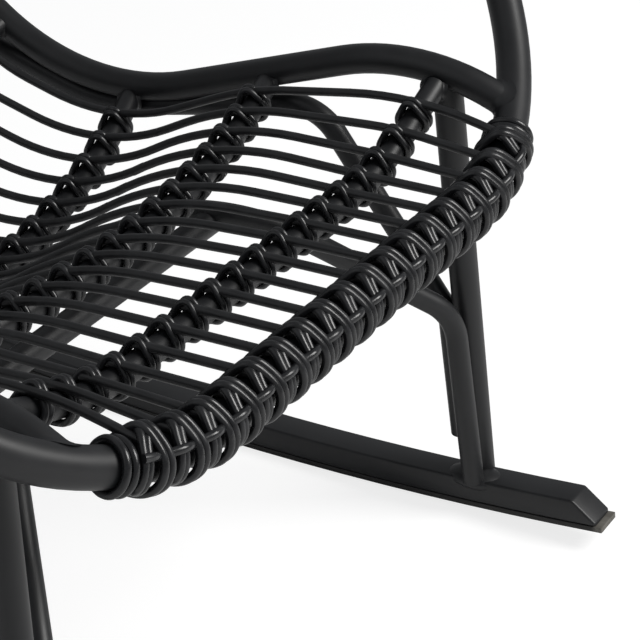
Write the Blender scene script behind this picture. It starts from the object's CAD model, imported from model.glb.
"""Rocking chair of bent black tubes with lashed seat rods, dressed for a close studio view.

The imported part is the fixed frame. Its tubes, rods and rockers keep their shape and get a finish, and the
strands of the lashings and the weld fillets are modelled here. Meshes and the studio are in metres, in the
part's frame: +X is the sitter's left, +Y the back, and the floor is Z = 0. The chair's own sizes are in
millimetres and degrees, as in the part's source, where Y starts at the front rail.
"""

import logging
import math
from dataclasses import dataclass, field
from enum import Enum
from typing import Any, Iterable

import bmesh
import bpy
from mathutils import Matrix, Vector


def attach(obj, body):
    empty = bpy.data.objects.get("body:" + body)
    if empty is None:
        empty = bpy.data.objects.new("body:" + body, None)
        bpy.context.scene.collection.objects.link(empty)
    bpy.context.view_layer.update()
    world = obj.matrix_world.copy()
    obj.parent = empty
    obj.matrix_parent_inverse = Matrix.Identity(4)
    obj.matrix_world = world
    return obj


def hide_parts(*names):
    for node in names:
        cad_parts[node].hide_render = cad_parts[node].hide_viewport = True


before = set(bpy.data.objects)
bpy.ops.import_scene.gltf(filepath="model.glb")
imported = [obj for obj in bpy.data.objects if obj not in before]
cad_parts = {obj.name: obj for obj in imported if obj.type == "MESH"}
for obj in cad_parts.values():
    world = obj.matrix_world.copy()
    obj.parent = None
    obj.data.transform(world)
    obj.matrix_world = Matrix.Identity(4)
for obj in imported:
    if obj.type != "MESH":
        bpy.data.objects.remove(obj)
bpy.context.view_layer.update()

MM = 0.001
ROOT = "root"
Colour = tuple[float, float, float, float]
WHITE: Colour = (1.0, 1.0, 1.0, 1.0)

log = logging.getLogger("chair")


class Slot(Enum):
    """Material slots of the part's record."""

    FRAME = "frame"
    STRIP = "wear_strip"
    RODS = "seat_rods"
    LASHING = "lashing"


class Side(Enum):
    """The sitter's side of the chair that a piece stands on."""

    LEFT = 1
    RIGHT = -1


# Shader maths


class Wire:
    """A value in a shader tree, which Python's operators can work on."""

    def __init__(self, graph: "Graph", socket: bpy.types.NodeSocket) -> None:
        """Keeps the graph that the socket belongs to.

        Args:
            graph: The material's graph.
            socket: An output socket of one of its nodes.
        """
        self.graph = graph
        self.socket = socket

    def _maths(self, operation: str, first: Any, second: Any) -> "Wire":
        """Adds one Math node.

        Args:
            operation: The node's operation.
            first: A wire or a number.
            second: A wire or a number.

        Returns:
            The node's result.
        """
        return self.graph.node("ShaderNodeMath", {"operation": operation}, {0: first, 1: second})

    def __add__(self, other: Any) -> "Wire":
        """Sum."""
        return self._maths("ADD", self, other)

    def __radd__(self, other: Any) -> "Wire":
        """Sum, with the number first."""
        return self._maths("ADD", other, self)

    def __rmul__(self, other: Any) -> "Wire":
        """Product, with the number first."""
        return self._maths("MULTIPLY", other, self)


class Graph:
    """One material's node tree, from its texture coordinates to its Principled BSDF."""

    def __init__(self, name: str) -> None:
        """Starts an empty material.

        Args:
            name: The material's name.
        """
        self.material = bpy.data.materials.new(name)
        self.material.use_nodes = True
        self.tree = self.material.node_tree
        self.tree.nodes.clear()
        self.where = self.node("ShaderNodeTexCoord", output="Object")

    def node(
        self,
        kind: str,
        settings: dict[str, Any] | None = None,
        values: dict[Any, Any] | None = None,
        output: int | str = 0,
    ) -> Wire:
        """Adds a node, sets it up and connects it.

        Args:
            kind: The node's type.
            settings: Its own settings, which are set first.
            values: Its inputs by name or number, as numbers, colours or wires.
            output: The output that is wanted.

        Returns:
            That output.
        """
        made = self.tree.nodes.new(kind)
        for name, value in (settings or {}).items():
            setattr(made, name, value)
        for key, value in (values or {}).items():
            if isinstance(value, Wire):
                self.tree.links.new(value.socket, made.inputs[key])
            else:
                made.inputs[key].default_value = value
        return Wire(self, made.outputs[output])

    def noise(self, scale: float, detail: float, stretch: Vector | None = None) -> Wire:
        """A noise pattern on the piece's own coordinates.

        Args:
            scale: How many features there are in a metre.
            detail: How many octaves the noise has.
            stretch: Scale along each axis, or None for an even pattern.

        Returns:
            The noise, from 0 to 1.
        """
        where = self.where
        if stretch is not None:
            where = self.node("ShaderNodeMapping", {}, {"Vector": where, "Scale": stretch})
        return self.node("ShaderNodeTexNoise", {}, {"Vector": where, "Scale": scale, "Detail": detail})

    def blend(self, factor: Wire, first: Colour, second: Colour) -> Wire:
        """Mixes two colours.

        Args:
            factor: From 0 for the first to 1 for the second.
            first: A colour with alpha.
            second: A colour with alpha.

        Returns:
            The mixed colour.
        """
        settings = {"data_type": "RGBA"}
        return self.node("ShaderNodeMix", settings, {0: factor, 6: first, 7: second}, output=2)

    def spread(self, value: Wire, low: float, high: float, to_low: float, to_high: float) -> Wire:
        """Maps a range of a value to another range, and stops at its ends.

        Args:
            value: The value.
            low: Start of its range.
            high: End of its range.
            to_low: Result at the start.
            to_high: Result at the end.

        Returns:
            The mapped value.
        """
        values = {0: value, 1: low, 2: high, 3: to_low, 4: to_high}
        return self.node("ShaderNodeMapRange", {}, values)

    def bump(self, height: Wire, depth: float, strength: float) -> Wire:
        """Turns a height into a normal.

        Args:
            height: The height, from 0 to 1.
            depth: How deep a height of 1 is, in metres.
            strength: Share of the effect.

        Returns:
            The normal.
        """
        values = {"Strength": strength, "Distance": depth, "Height": height}
        return self.node("ShaderNodeBump", {}, values, output="Normal")

    def close(self, values: dict[str, Any]) -> bpy.types.Material:
        """Ends the tree in a Principled BSDF.

        Args:
            values: Inputs of the Principled BSDF by name.

        Returns:
            The material.
        """
        shader = self.node("ShaderNodeBsdfPrincipled", {}, values)
        self.node_out(shader)
        return self.material

    def node_out(self, shader: Wire) -> None:
        """Ends the tree in a material output.

        Args:
            shader: The surface's shader.
        """
        end = self.tree.nodes.new("ShaderNodeOutputMaterial")
        self.tree.links.new(shader.socket, end.inputs["Surface"])


# Finishes


@dataclass(frozen=True)
class CoatedTube:
    """Black powder coat on metal tube: a satin skin with a fine grain and a little dust."""

    colour: Colour = (0.0078, 0.0082, 0.0093, 1.0)
    dust: Colour = (0.0130, 0.0134, 0.0148, 1.0)
    roughness: float = 0.42
    dust_roughness: float = 0.07
    dust_scale: float = 26.0
    dust_range: tuple[float, float] = (0.42, 0.72)
    grain_scale: float = 2600.0
    grain_depth: float = 0.05 * MM
    grain_strength: float = 0.5

    def material(self) -> bpy.types.Material:
        """Builds the material."""
        graph = Graph("coated_tube")
        grain = graph.noise(self.grain_scale, 2.0)
        patches = graph.spread(graph.noise(self.dust_scale, 4.0), *self.dust_range, 0.0, 1.0)
        return graph.close({
            "Base Color": graph.blend(patches, self.colour, self.dust),
            "Roughness": self.roughness + self.dust_roughness * patches,
            "Normal": graph.bump(grain, self.grain_depth, self.grain_strength),
        })


@dataclass(frozen=True)
class WickerStrand:
    """Round black plastic strand: smooth, a little glossy, with faint drawn lines and rubbed spots."""

    name: str = "wicker_strand"
    colour: Colour = (0.0085, 0.0088, 0.0100, 1.0)
    rubbed: Colour = (0.0200, 0.0205, 0.0225, 1.0)
    roughness: float = 0.27
    rubbed_roughness: float = 0.10
    rubbed_scale: float = 75.0
    rubbed_range: tuple[float, float] = (0.45, 0.70)
    skin_scale: float = 900.0
    skin_depth: float = 0.12 * MM
    skin_strength: float = 0.35

    def material(self) -> bpy.types.Material:
        """Builds the material."""
        graph = Graph(self.name)
        skin = graph.noise(self.skin_scale, 3.0)
        spots = graph.spread(graph.noise(self.rubbed_scale, 4.0), *self.rubbed_range, 0.0, 1.0)
        return graph.close({
            "Base Color": graph.blend(spots, self.colour, self.rubbed),
            "Roughness": self.roughness + self.rubbed_roughness * spots,
            "Normal": graph.bump(skin, self.skin_depth, self.skin_strength),
        })


@dataclass(frozen=True)
class WornStrip:
    """Plastic under the rockers: dark along its length, and pale brown-grey and scuffed at its tips.

    The tips start at `tip_from` metres before and behind the strip's middle, which is `middle` metres
    in front of the part's origin, and are quite pale at `tip_to`.
    """

    colour: Colour = (0.105, 0.098, 0.085, 1.0)
    scuffed: Colour = (0.20, 0.19, 0.17, 1.0)
    shaded: Colour = (0.022, 0.021, 0.020, 1.0)
    middle: float = 0.070
    tip_from: float = 0.352
    tip_to: float = 0.356
    roughness: float = 0.62
    scuffed_roughness: float = 0.15
    scratch_scale: float = 160.0
    scratch_stretch: Vector = field(default_factory=lambda: Vector((1.0, 0.12, 1.0)))
    scratch_range: tuple[float, float] = (0.45, 0.75)
    scratch_depth: float = 0.2 * MM
    scratch_strength: float = 0.6

    def material(self) -> bpy.types.Material:
        """Builds the material."""
        graph = Graph("worn_strip")
        scratches = graph.noise(self.scratch_scale, 5.0, self.scratch_stretch)
        worn = graph.spread(scratches, *self.scratch_range, 0.0, 1.0)
        split = graph.node("ShaderNodeSeparateXYZ", {}, {0: graph.where}, output="Y")
        reach = graph.node("ShaderNodeMath", {"operation": "ABSOLUTE"}, {0: split + self.middle})
        tips = graph.spread(reach, self.tip_from, self.tip_to, 0.0, 1.0)
        pale = graph.blend(worn, self.colour, self.scuffed)
        return graph.close({
            "Base Color": graph.blend(tips, self.shaded, pale),
            "Roughness": self.roughness + self.scuffed_roughness * worn,
            "Normal": graph.bump(scratches, self.scratch_depth, self.scratch_strength),
        })


@dataclass(frozen=True)
class StudioFloor:
    """White sweep that the camera sees almost as paper white and that keeps the chair's shadow."""

    colour: Colour = (0.86, 0.86, 0.86, 1.0)
    white: float = 0.60
    glow: float = 1.30

    def material(self) -> bpy.types.Material:
        """Builds the material."""
        graph = Graph("studio_floor")
        lit = graph.node("ShaderNodeBsdfDiffuse", {}, {"Color": self.colour})
        paper = graph.node("ShaderNodeEmission", {}, {"Color": WHITE, "Strength": self.glow})
        seen = graph.node("ShaderNodeLightPath", output="Is Camera Ray")
        graph.node_out(graph.node("ShaderNodeMixShader", {}, {0: self.white * seen, 1: lit, 2: paper}))
        return graph.material


# The chair's lines, as the part's source has them


@dataclass(frozen=True)
class Chair:
    """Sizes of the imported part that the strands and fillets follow, in millimetres and degrees.

    `middle_y` is the distance from the front rail to the origin of the part's frame.
    """

    middle_y: float = 355.13
    rod_count: int = 18
    rod_pitch: float = 31.0
    rod_d: float = 7.0
    side_x: float = 308.0
    front_z: float = 361.0
    front_flat: float = 178.0
    front_bend: float = 250.0
    front_turn: float = 60.0
    corner_r: float = 110.0
    arm_lean: float = 38.0
    back_angle: float = 65.0
    top_y: float = 766.2
    top_z: float = 836.5
    arm_r: float = 14.3
    rail_r: float = 12.5
    bar_r: float = 9.5

    def rod_x(self, index: int) -> float:
        """Distance of a rod from the middle of the chair, in millimetres."""
        return (index - (self.rod_count - 1) / 2) * self.rod_pitch


CHAIR = Chair()


@dataclass(frozen=True)
class Bar:
    """A bar under the rods, in millimetres and degrees, in the side frame of the part's source.

    Its middle is at (y, z), its ends rise in the direction `way`, and rods cross it at `slope`. Beyond its
    `straight` half it follows an arc of radius `bend` for at most `reach` degrees, and then runs straight.
    """

    y: float
    z: float
    way: float
    slope: float
    radius: float
    straight: float
    bend: float
    reach: float = 90.0

    def lift(self, x: float) -> float:
        """How far the bar has risen at distance x from the middle."""
        out = max(0.0, abs(x) - self.straight)
        bent = self.bend * math.sin(math.radians(self.reach))
        if out < bent:
            return self.bend - math.sqrt(self.bend**2 - out**2)
        turn = math.radians(self.reach)
        return self.bend * (1 - math.cos(turn)) + (out - bent) * math.tan(turn)

    def at(self, x: float) -> Vector:
        """The bar's centre at distance x from the middle, in metres in the part's frame."""
        lift, way = self.lift(x), math.radians(self.way)
        y = self.y + lift * math.cos(way) - CHAIR.middle_y
        return Vector((x, y, self.z + lift * math.sin(way))) * MM

    def axes(self, x: float) -> tuple[Vector, Vector, Vector]:
        """Directions at distance x: along the bar, out to the rods, and to the front across the bar."""
        along = (self.at(x + 0.5) - self.at(x - 0.5)).normalized()
        slope = math.radians(self.slope)
        out = Vector((0.0, -math.sin(slope), math.cos(slope)))
        out = (out - along * out.dot(along)).normalized()
        return along, out, along.cross(out)


def long_bend(y: float, z: float, way: float, slope: float, bend: float) -> Bar:
    """A cross bar that is one long bend from side to side, with its height z taken from the front rail's."""
    return Bar(y, CHAIR.front_z + z, way, slope, CHAIR.bar_r, 0.0, bend)


CORNER_X = CHAIR.side_x - CHAIR.corner_r
TOP_SLOPE = 77.0
FRONT_RAIL = Bar(
    0.0, CHAIR.front_z, 90 - CHAIR.arm_lean, 0.0, CHAIR.arm_r,
    CHAIR.front_flat, CHAIR.front_bend, CHAIR.front_turn,
)
TOP_RAIL = Bar(
    CHAIR.top_y, CHAIR.top_z, CHAIR.back_angle - 180, TOP_SLOPE, CHAIR.arm_r,
    CORNER_X, CHAIR.corner_r,
)
SEAT_BARS = [
    Bar(87.0, CHAIR.front_z + 2.5, 90.0, -4.0, CHAIR.bar_r, 150.0, 260.0, 22.0),
    long_bend(211.0, -16.5, 41.0, -17.0, 1028.0),
    long_bend(349.0, -83.5, 57.0, -6.0, 733.0),
]
BACK_BARS = [
    long_bend(551.0, -39.5, 120.0, 35.0, 788.0),
    long_bend(676.1, 167.4, 155.0, 64.0, 949.0),
    long_bend(732.2, 322.3, 155.0, 74.0, 1338.0),
]
# In millimetres: (y, z) of the side rail's first bend, (x, y, z) of the left arm's last bend, and (y, z) of
# the arm's rear end on the side rail's axis
RAIL_CREST = (107.0, 429.0)
ARM_KNEE = (414.0, 179.0, 603.5)
ARM_SEAT = (674.4, 639.5)


# Helpers for pieces

# Rings of a strand's section, steps between two of its points, and the order of its curve
STRAND_BEVEL = 3
STRAND_STEPS = 2
STRAND_ORDER = 4


def link(name: str, data: bpy.types.ID) -> bpy.types.Object:
    """Makes an object of some data and puts it in the scene.

    Args:
        name: The object's name.
        data: Its mesh, curve, camera or light.

    Returns:
        The object.
    """
    made = bpy.data.objects.new(name, data)
    bpy.context.scene.collection.objects.link(made)
    return made


def add_piece(name: str, mesh: bpy.types.Mesh, material: bpy.types.Material) -> bpy.types.Object:
    """Makes a finished piece of the chair from a mesh whose place is in its vertices.

    Args:
        name: The piece's name.
        mesh: Its mesh, in metres in the part's frame.
        material: Its finish.

    Returns:
        The piece, which rides on the chair's one body.
    """
    piece = link(name, mesh)
    mesh.materials.clear()
    mesh.materials.append(material)
    for polygon in mesh.polygons:
        polygon.use_smooth = True
    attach(piece, ROOT)
    log.info("piece %s: %d faces", name, len(mesh.polygons))
    return piece


def strand_mesh(name: str, loops: Iterable[tuple[list[Vector], bool]], radius: float) -> bpy.types.Mesh:
    """Sweeps round strands along smooth paths and joins them in one mesh.

    Args:
        name: The mesh's name.
        loops: Each strand's points, and whether it closes on itself.
        radius: The strand's radius in metres.

    Returns:
        The mesh of all the strands.
    """
    curve = bpy.data.curves.new(name, "CURVE")
    curve.dimensions = "3D"
    curve.bevel_depth = radius
    curve.bevel_resolution = STRAND_BEVEL
    curve.resolution_u = STRAND_STEPS
    curve.use_fill_caps = True
    for points, closed in loops:
        spline = curve.splines.new("NURBS")
        spline.points.add(len(points) - 1)
        for point, place in zip(spline.points, points):
            point.co = (*place, 1.0)
        spline.order_u = STRAND_ORDER
        spline.use_cyclic_u = closed
        spline.use_endpoint_u = not closed
    holder = link(name, curve)
    mesh = bpy.data.meshes.new_from_object(holder.evaluated_get(bpy.context.evaluated_depsgraph_get()))
    mesh.name = name
    bpy.data.objects.remove(holder)
    bpy.data.curves.remove(curve)
    return mesh


# Sub-assemblies


ROD_FINISH = WickerStrand("rod_skin", (0.0088, 0.0090, 0.0100, 1.0), (0.017, 0.0175, 0.019, 1.0), 0.38)


@dataclass
class TubeFrame:
    """The metal tubes and rockers: CAD nodes that get a smooth skin and their finish."""

    coat: CoatedTube = field(default_factory=CoatedTube)
    strip: WornStrip = field(default_factory=WornStrip)
    rod_finish: WickerStrand = ROD_FINISH
    edge: float = 2.4 * MM
    strip_edge: float = 0.7 * MM
    edge_steps: int = 3
    edge_from: float = 28.0
    sharp_from: float = 38.0
    join_within: float = 0.01 * MM

    def smooth(self, node: bpy.types.Object, edge: float) -> None:
        """Joins a CAD node's loose triangles and shades it smooth, with its edges rounded or kept.

        Args:
            node: The CAD node.
            edge: Radius of its edges, or 0 to leave them sharp.
        """
        for polygon in node.data.polygons:
            polygon.use_smooth = True
        weld = node.modifiers.new("join", "WELD")
        weld.merge_threshold = self.join_within
        if edge > 0:
            bevel = node.modifiers.new("round", "BEVEL")
            bevel.width = edge
            bevel.segments = self.edge_steps
            bevel.limit_method = "ANGLE"
            bevel.angle_limit = math.radians(self.edge_from)
        split = node.modifiers.new("keep", "EDGE_SPLIT")
        split.split_angle = math.radians(self.sharp_from)

    def build(self) -> bpy.types.Material:
        """Gives every carried-over CAD node its skin and finish.

        Returns:
            The finish of the tubes.
        """
        coat, strip, rod = self.coat.material(), self.strip.material(), self.rod_finish.material()
        for name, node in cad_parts.items():
            if Slot.LASHING.value in name:
                continue
            worn = name.startswith("wear_strip")
            edge = self.strip_edge if worn else self.edge if name.startswith("rocker") else 0.0
            self.smooth(node, edge)
            finish = strip if worn else rod if name.startswith("rod_") else coat
            for slot in node.material_slots:
                slot.material = finish
            log.info("node %s: %s", name, finish.name)
        return coat


@dataclass(frozen=True)
class Turn:
    """One strand of a knot: how far it lies along the bar at the front, over the rod and at the back.

    It lies `layer` millimetres over the strands next to the bar.
    """

    front: float
    crest: float
    back: float
    layer: float


@dataclass
class Lashing:
    """The strands that tie the rods to one bar: crossed turns over each rod, and on the rails a long strand.

    Lengths are in millimetres. `bridge_angle` is in degrees, from the bar's rod side towards the front.
    `press` is the share of the strand's radius that it sinks into a rod, `rod_half` half the width that it
    lies flat on the rod, and `ends` are the distances of the plain rings past the last rod. Where the bar
    bends, a knot is drawn together to its spread along X, but never below `least_spread`.
    """

    bar: Bar
    node: str
    strand_r: float
    turns: list[Turn]
    bridge_angle: float = 57.0
    bridge_lift: float = 2.0
    bridge_wave: float = 2.6
    bridge_peak: float = -8.0
    bridge_before: float = 4.0
    bridge_after: float = 14.0
    bridge_steps: int = 8
    steps: int = 30
    quickness: float = 1.2
    ends: tuple[float, ...] = (17.0, 23.6)
    press: float = 0.35
    rod_half: float = 3.0
    layer_share: float = 0.9
    least_spread: float = 0.45
    bridged: bool = True

    def hull(self, angle: float, layer: float) -> float:
        """Distance from the bar's axis of a taut strand that goes over a rod.

        Args:
            angle: Angle round the bar, from its rod side towards the front, in radians.
            layer: How far the strand lies over the first one, in millimetres.

        Returns:
            The distance in millimetres.
        """
        low = self.bar.radius + self.strand_r + layer * self.layer_share
        top = self.bar.radius + CHAIR.rod_d + self.strand_r * (1 - self.press) + layer
        start = math.atan2(self.rod_half, top)
        leave = start + math.acos(low / math.hypot(self.rod_half, top))
        angle = abs(math.remainder(angle, math.tau))
        if angle < start:
            return top / math.cos(angle)
        if angle < leave:
            return low / math.cos(leave - angle)
        return low

    def place(self, x: float, angle: float, distance: float) -> Vector:
        """A point round the bar.

        Args:
            x: Distance from the middle of the chair, in millimetres.
            angle: Angle from the rod side towards the front, in radians.
            distance: Distance from the bar's axis, in millimetres.

        Returns:
            The point in metres.
        """
        _, out, front = self.bar.axes(x)
        return self.bar.at(x) + (out * math.cos(angle) + front * math.sin(angle)) * distance * MM

    def knot_turn(self, x: float, turn: Turn) -> list[Vector]:
        """The closed path of one strand of a knot.

        Args:
            x: The rod's distance from the middle of the chair, in millimetres.
            turn: The strand's place in the knot.

        Returns:
            Its points.
        """
        points = []
        spread = max(self.least_spread, self.bar.axes(x)[0].x)
        for step in range(self.steps):
            angle = math.tau * step / self.steps
            share = math.tanh(self.quickness * math.sin(angle)) / math.tanh(self.quickness)
            side = turn.front if share > 0 else turn.back
            along = turn.crest * (1 - abs(share)) * (math.cos(angle) > 0) + side * abs(share)
            points.append(self.place(x + along * spread, angle, self.hull(angle, turn.layer)))
        return points

    def ring(self, x: float) -> list[Vector]:
        """The closed path of a plain turn round the bar at distance x."""
        steps = self.steps
        low = self.bar.radius + self.strand_r
        return [self.place(x, math.tau * step / steps, low) for step in range(steps)]

    def bridge(self) -> list[Vector]:
        """The path of the long strand, which rises over one pair of turns and dips under the other."""
        low = self.bar.radius + self.strand_r + self.bridge_lift
        first = CHAIR.rod_x(0) + self.bridge_peak - self.bridge_before
        last = CHAIR.rod_x(CHAIR.rod_count - 1) + self.bridge_after
        steps = self.bridge_steps * CHAIR.rod_count
        points = []
        for step in range(steps + 1):
            x = first + (last - first) * step / steps
            wave = math.cos(math.tau * (x - CHAIR.rod_x(0) - self.bridge_peak) / CHAIR.rod_pitch)
            points.append(self.place(x, math.radians(self.bridge_angle), low + self.bridge_wave * wave))
        return points

    def build(self, material: bpy.types.Material) -> None:
        """Builds the strands, which take the place of the part's plain rings.

        Args:
            material: The strands' finish.
        """
        loops = []
        for index in range(CHAIR.rod_count):
            loops += [(self.knot_turn(CHAIR.rod_x(index), turn), True) for turn in self.turns]
        edge = CHAIR.rod_x(CHAIR.rod_count - 1)
        spread = self.bar.axes(edge)[0].x
        for offset in self.ends:
            loops += [(self.ring(way * (edge + offset * spread)), True) for way in (1, -1)]
        if self.bridged:
            loops.append((self.bridge(), False))
        mesh = strand_mesh(self.node + "_strands", loops, self.strand_r * MM)
        piece = add_piece(self.node + "_strands", mesh, material)
        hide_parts(self.node)


RAIL_STRAND_R = 3.2
BAR_STRAND_R = 2.6
RAIL_TURNS = [
    Turn(-9.2, -3.2, 6.5, 0.0),
    Turn(-5.6, 2.8, 9.5, 0.3),
    Turn(5.8, -2.6, -8.0, 2.8),
    Turn(11.6, 3.6, -3.0, 2.8),
]
BAR_TURNS = [
    Turn(-3.2, -2.5, -6.5, 0.0),
    Turn(3.0, 2.5, 2.0, 0.0),
]


@dataclass(frozen=True)
class Joint:
    """A tube's end on another tube, in millimetres in the part's frame.

    The tube that ends has its end at `end`, runs along `way` and has `radius`. The other tube passes
    through `on` along `along` and has `on_radius`. `size` is the weld's.
    """

    end: Vector
    way: Vector
    radius: float
    on: Vector
    along: Vector
    on_radius: float
    size: float


@dataclass
class Welds:
    """Smooth weld fillets where the tubes of the frame meet, and mounds of weld at the legs' feet.

    Lengths are in millimetres. `profile` has the rows of a fillet of size 1, from the end tube to the other:
    how far each lies back along the end tube and out over the other. `rail_slopes` are the side rail's
    slopes at the bars from the front to the top, and `feet` the mounds of the left side as (x, y, z).
    """

    facets: int = 32
    profile: tuple[tuple[float, float], ...] = ((1.0, -0.04), (0.42, 0.10), (0.10, 0.42), (-0.04, 1.0))
    bar_size: float = 3.0
    arm_size: float = 5.0
    rail_size: float = 6.0
    bar_sunk: float = 2.0
    rail_out: float = 6.0
    rail_slopes: tuple[float, ...] = (9.0, -19.0, -5.0, 34.0, 65.0, 65.0)
    mound_size: Vector = field(default_factory=lambda: Vector((17.0, 27.0, 9.0)))
    mound_rings: int = 16
    feet: tuple[tuple[float, float, float], ...] = ((323.0, 49.0, 31.5), (323.0, 583.0, 37.0))

    def seam(self, joint: Joint, turn: float) -> tuple[Vector, Vector, Vector]:
        """One point of the seam, and the two directions that leave it.

        Args:
            joint: The joint, whose lengths are in millimetres.
            turn: Angle round the end tube's axis, in radians.

        Returns:
            The point, the way back along the end tube, and the way out over the other tube.
        """
        side = joint.way.cross(joint.along).normalized()
        rise = side.cross(joint.way).normalized()
        start = joint.end + (side * math.cos(turn) + rise * math.sin(turn)) * joint.radius
        gap = start - joint.on
        gap -= joint.along * gap.dot(joint.along)
        step = joint.way - joint.along * joint.way.dot(joint.along)
        half, square = gap.dot(step), step.dot(step)
        inside = half * half - square * (gap.dot(gap) - joint.on_radius**2)
        point = start + joint.way * ((-half - math.sqrt(max(0.0, inside))) / square)
        normal = point - joint.on
        normal = (normal - joint.along * normal.dot(joint.along)).normalized()
        out = side * math.cos(turn) + rise * math.sin(turn)
        out = (out - normal * out.dot(normal)).normalized()
        return point, -joint.way, out

    def fillet(self, shape: bmesh.types.BMesh, joint: Joint) -> None:
        """Adds one closed ring of weld to a mesh.

        Args:
            shape: The mesh that takes it.
            joint: The joint.
        """
        rows = []
        for back, out in self.profile:
            row = []
            for facet in range(self.facets):
                point, up, away = self.seam(joint, math.tau * facet / self.facets)
                row.append(shape.verts.new((point + (up * back + away * out) * joint.size) * MM))
            rows.append(row)
        for lower, upper in zip(rows, rows[1:]):
            for facet in range(self.facets):
                after = (facet + 1) % self.facets
                shape.faces.new((lower[facet], lower[after], upper[after], upper[facet]))

    def bar_joint(self, bar: Bar, slope: float, side: Side) -> Joint:
        """The joint of a cross bar's end with a side rail."""
        x = side.value * (CHAIR.side_x - CHAIR.rail_r - self.bar_sunk)
        centre = bar.at(x) / MM
        way = bar.axes(x)[0] * side.value
        turn = math.radians(slope)
        on = Vector((side.value * CHAIR.side_x, centre.y, centre.z))
        along = Vector((0.0, math.cos(turn), math.sin(turn)))
        return Joint(centre, way, bar.radius, on, along, CHAIR.rail_r, self.bar_size)

    def arm_joint(self, side: Side) -> Joint:
        """The joint of an arm's rear end with a side rail."""
        slope = math.radians(CHAIR.back_angle)
        on = Vector((side.value * CHAIR.side_x, ARM_SEAT[0] - CHAIR.middle_y, ARM_SEAT[1]))
        knee = Vector((side.value * ARM_KNEE[0], ARM_KNEE[1] - CHAIR.middle_y, ARM_KNEE[2]))
        way = (on - knee).normalized()
        along = Vector((0.0, math.cos(slope), math.sin(slope)))
        end = on - way * CHAIR.rail_r
        return Joint(end, way, CHAIR.arm_r, on, along, CHAIR.rail_r, self.arm_size)

    def rail_joint(self, side: Side) -> Joint:
        """The joint of a side rail's front end with the front rail."""
        x = CHAIR.side_x + self.rail_out
        on = FRONT_RAIL.at(side.value * x) / MM
        rail = Vector((side.value * CHAIR.side_x, RAIL_CREST[0] - CHAIR.middle_y, RAIL_CREST[1]))
        way = (on - rail).normalized()
        along = FRONT_RAIL.axes(side.value * x)[0]
        end = on - way * CHAIR.arm_r
        return Joint(end, way, CHAIR.rail_r, on, along, CHAIR.arm_r, self.rail_size)

    def mound(self, shape: bmesh.types.BMesh, place: Vector) -> None:
        """Adds the mound of weld that takes a leg's and a brace's foot on a rocker.

        Args:
            shape: The mesh that takes it.
            place: The mound's centre in millimetres.
        """
        made = bmesh.ops.create_uvsphere(
            shape, u_segments=self.facets, v_segments=self.mound_rings, radius=1.0
        )
        size = Matrix.Diagonal(self.mound_size).to_4x4()
        matrix = Matrix.Scale(MM, 4) @ Matrix.Translation(place) @ size
        bmesh.ops.transform(shape, matrix=matrix, verts=made["verts"])

    def build(self, material: bpy.types.Material) -> None:
        """Builds all the fillets and mounds as one piece.

        Args:
            material: The finish of the tubes.
        """
        shape = bmesh.new()
        for side in Side:
            for bar, slope in zip(SEAT_BARS + BACK_BARS, self.rail_slopes):
                self.fillet(shape, self.bar_joint(bar, slope, side))
            self.fillet(shape, self.arm_joint(side))
            self.fillet(shape, self.rail_joint(side))
            for x, y, z in self.feet:
                self.mound(shape, Vector((side.value * x, y - CHAIR.middle_y, z)))
        bmesh.ops.recalc_face_normals(shape, faces=shape.faces[:])
        mesh = bpy.data.meshes.new("welds")
        shape.to_mesh(mesh)
        shape.free()
        add_piece("welds", mesh, material)


@dataclass(frozen=True)
class Lamp:
    """A square soft lamp, placed from the studio's target as the camera sees it: lengths in metres."""

    name: str
    right: float
    up: float
    towards: float
    size: float
    power: float
    colour: tuple[float, float, float]


LAMPS = [
    Lamp("key", 2.2, 1.9, 0.2, 1.3, 72.0, (1.0, 0.99, 0.97)),
    Lamp("fill", -1.8, 1.6, 1.2, 2.2, 4.0, (0.97, 0.98, 1.0)),
]


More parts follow.
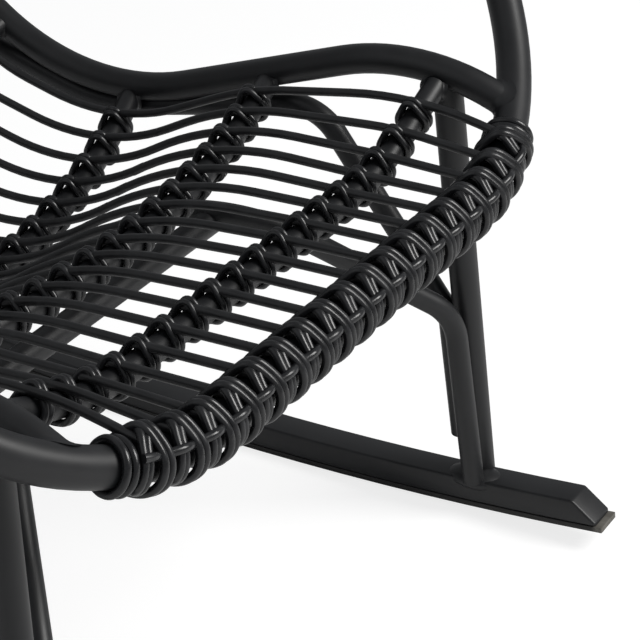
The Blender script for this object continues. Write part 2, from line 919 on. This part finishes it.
@dataclass
class Studio:
    """The white floor, the soft lamps and the camera at the photograph's view."""

    eye: Vector = field(default_factory=lambda: Vector((-1351.6, -735.8 - CHAIR.middle_y, 1184.5)) * MM)
    yaw: float = 60.61
    pitch: float = 28.39
    lens: float = 138.84
    sensor: float = 36.0
    clip: tuple[float, float] = (0.05, 50.0)
    target: Vector = field(default_factory=lambda: Vector((0.05, -0.30, 0.32)))
    floor_half: float = 14.0
    sky: Colour = (0.95, 0.97, 1.0, 1.0)
    sky_strength: float = 0.29

    def camera(self) -> None:
        """Makes the camera and the scene's view of it."""
        data = bpy.data.cameras.new("camera")
        data.sensor_fit = "HORIZONTAL"
        data.sensor_width = self.sensor
        data.lens = self.lens
        data.clip_start, data.clip_end = self.clip
        yaw, pitch = math.radians(self.yaw), math.radians(self.pitch)
        look = Vector((math.cos(pitch) * math.sin(yaw), math.cos(pitch) * math.cos(yaw), -math.sin(pitch)))
        holder = link("camera", data)
        aim = look.to_track_quat("-Z", "Y").to_matrix().to_4x4()
        holder.matrix_world = Matrix.Translation(self.eye) @ aim
        bpy.context.scene.camera = holder

    def light(self, lamp: Lamp) -> None:
        """Hangs up a lamp that faces the chair.

        Args:
            lamp: The lamp.
        """
        yaw = math.radians(self.yaw)
        right = Vector((math.cos(yaw), -math.sin(yaw), 0.0))
        towards = Vector((-math.sin(yaw), -math.cos(yaw), 0.0))
        up = Vector((0.0, 0.0, 1.0))
        place = self.target + right * lamp.right + up * lamp.up + towards * lamp.towards
        data = bpy.data.lights.new(lamp.name, "AREA")
        data.shape = "SQUARE"
        data.size, data.energy, data.color = lamp.size, lamp.power, lamp.colour
        holder = link(lamp.name, data)
        aim = (self.target - place).to_track_quat("-Z", "Y").to_matrix().to_4x4()
        holder.matrix_world = Matrix.Translation(place) @ aim

    def build(self) -> None:
        """Builds the whole studio."""
        self.camera()
        for lamp in LAMPS:
            self.light(lamp)
        self.world()
        self.floor()

    def floor(self) -> None:
        """Lays the floor, which is no part of the chair."""
        shape = bmesh.new()
        bmesh.ops.create_grid(shape, x_segments=1, y_segments=1, size=self.floor_half)
        mesh = bpy.data.meshes.new("floor")
        shape.to_mesh(mesh)
        shape.free()
        mesh.materials.append(StudioFloor().material())
        floor = link("floor", mesh)

    def world(self) -> None:
        """Lights the room evenly and shows the camera plain white."""
        world = bpy.data.worlds.new("studio")
        world.use_nodes = True
        bpy.context.scene.world = world
        tree = world.node_tree
        tree.nodes.clear()
        rays = tree.nodes.new("ShaderNodeLightPath")
        mix, end = tree.nodes.new("ShaderNodeMixShader"), tree.nodes.new("ShaderNodeOutputWorld")
        tree.links.new(rays.outputs["Is Camera Ray"], mix.inputs[0])
        for socket, colour, strength in ((1, self.sky, self.sky_strength), (2, WHITE, 1.0)):
            back = tree.nodes.new("ShaderNodeBackground")
            back.inputs["Color"].default_value = colour
            back.inputs["Strength"].default_value = strength
            tree.links.new(back.outputs[0], mix.inputs[socket])
        tree.links.new(mix.outputs[0], end.inputs["Surface"])


def main() -> None:
    """Builds the chair and its studio in order."""
    logging.basicConfig(level=logging.INFO, format="%(name)s: %(message)s")
    bpy.context.scene.view_settings.view_transform = "Standard"
    Studio().build()
    Welds().build(TubeFrame().build())
    strand = WickerStrand().material()
    for node, rail in (("front_lashing", FRONT_RAIL), ("top_lashing", TOP_RAIL)):
        Lashing(rail, node, RAIL_STRAND_R, RAIL_TURNS).build(strand)
    for place, bars in (("seat", SEAT_BARS), ("back", BACK_BARS)):
        for number, bar in enumerate(bars, 1):
            node = f"{place}_lashing_{number}"
            Lashing(bar, node, BAR_STRAND_R, BAR_TURNS, ends=(), bridged=False).build(strand)


if __name__ == "__main__":
    main()
